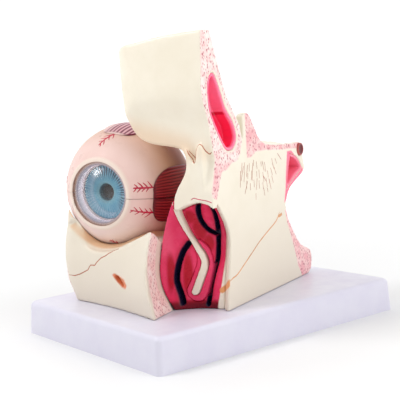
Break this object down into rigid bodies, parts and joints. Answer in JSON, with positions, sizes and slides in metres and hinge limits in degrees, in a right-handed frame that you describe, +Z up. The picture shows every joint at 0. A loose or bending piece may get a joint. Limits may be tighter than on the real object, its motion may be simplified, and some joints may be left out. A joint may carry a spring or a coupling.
{
  "type": "eye anatomy model",
  "caption": "Enlarged take-apart eyeball resting in a sectioned block of the face with orbit, forehead and nasal cavity, screwed to a flat moulded base.",
  "frame": {"origin": "on the table under the middle of the base", "axes": "+Z up, -Y to the base's short front side, +X to the side where the cut face along the middle of the head shows"},
  "size_m": [0.15, 0.2, 0.192],
  "materials": {
    "base_plastic": "satin moulded plastic, pale lavender white",
    "screw": "plain steel",
    "bone": "satin painted plastic, cream",
    "cut_bone": "satin painted plastic, cream with pink stipple at the cut edges",
    "mucosa": "glossy painted plastic, crimson pink with dark grooves",
    "sinus": "glossy painted plastic, bright pink",
    "chiasm": "painted plastic, red brown",
    "sclera": "satin painted plastic, pinkish beige with red vessels",
    "choroid": "painted plastic, brown red",
    "vitreous": "clear cast plastic",
    "lens": "clear cast plastic",
    "iris": "painted plastic, teal blue with dark spokes",
    "cornea": "clear thin moulded plastic",
    "nerve": "painted plastic, yellow",
    "muscle": "satin painted plastic, dark red with fibre ridges"
  },
  "bodies": {
    "face_block": {"base": "base_plastic", "base_screw_1": "screw", "base_screw_2": "screw", "base_screw_3": "screw", "base_screw_4": "screw", "maxilla": "bone", "frontal_bone": "bone", "nasal_bone": "bone", "septum_plate": "cut_bone", "ethmoid_block": "bone", "cranial_floor": "bone", "nasal_mucosa": "mucosa", "inferior_concha": "mucosa", "concha_bone": "bone", "frontal_sinus_lining": "sinus", "sphenoid_sinus_lining": "sinus", "optic_chiasm": "chiasm"},
    "eyeball": {"sclera_lower": "sclera", "optic_nerve": "nerve", "medial_rectus_lower": "muscle", "lateral_rectus_lower": "muscle", "inferior_rectus": "muscle"},
    "choroid_bowl": {"choroid_lower": "choroid"},
    "vitreous": {"vitreous_body": "vitreous"},
    "choroid_cap": {"choroid_upper": "choroid"},
    "sclera_cap": {"sclera_upper": "sclera", "superior_rectus": "muscle", "medial_rectus_upper": "muscle", "lateral_rectus_upper": "muscle"},
    "lens": {"lens": "lens"},
    "iris": {"iris": "iris"},
    "cornea": {"cornea": "cornea"}
  },
  "joints": [
    {"name": "eyeball_lift", "type": "slide", "parent": "face_block", "child": "eyeball", "axis": [0, 0, 1], "range_m": [0, 0.1]},
    {"name": "choroid_bowl_lift", "type": "slide", "parent": "eyeball", "child": "choroid_bowl", "axis": [0, 0, 1], "range_m": [0, 0.05]},
    {"name": "vitreous_lift", "type": "slide", "parent": "choroid_bowl", "child": "vitreous", "axis": [0, 0, 1], "range_m": [0, 0.05]},
    {"name": "choroid_cap_lift", "type": "slide", "parent": "vitreous", "child": "choroid_cap", "axis": [0, 0, 1], "range_m": [0, 0.05]},
    {"name": "sclera_cap_lift", "type": "slide", "parent": "choroid_cap", "child": "sclera_cap", "axis": [0, 0, 1], "range_m": [0, 0.06]},
    {"name": "lens_pull", "type": "slide", "parent": "vitreous", "child": "lens", "axis": [0.3749, -0.9269, -0.0175], "range_m": [0, 0.04]},
    {"name": "iris_pull", "type": "slide", "parent": "lens", "child": "iris", "axis": [0.3749, -0.9269, -0.0175], "range_m": [0, 0.03]},
    {"name": "cornea_pull", "type": "slide", "parent": "iris", "child": "cornea", "axis": [0.3749, -0.9269, -0.0175], "range_m": [0, 0.03]}
  ]
}
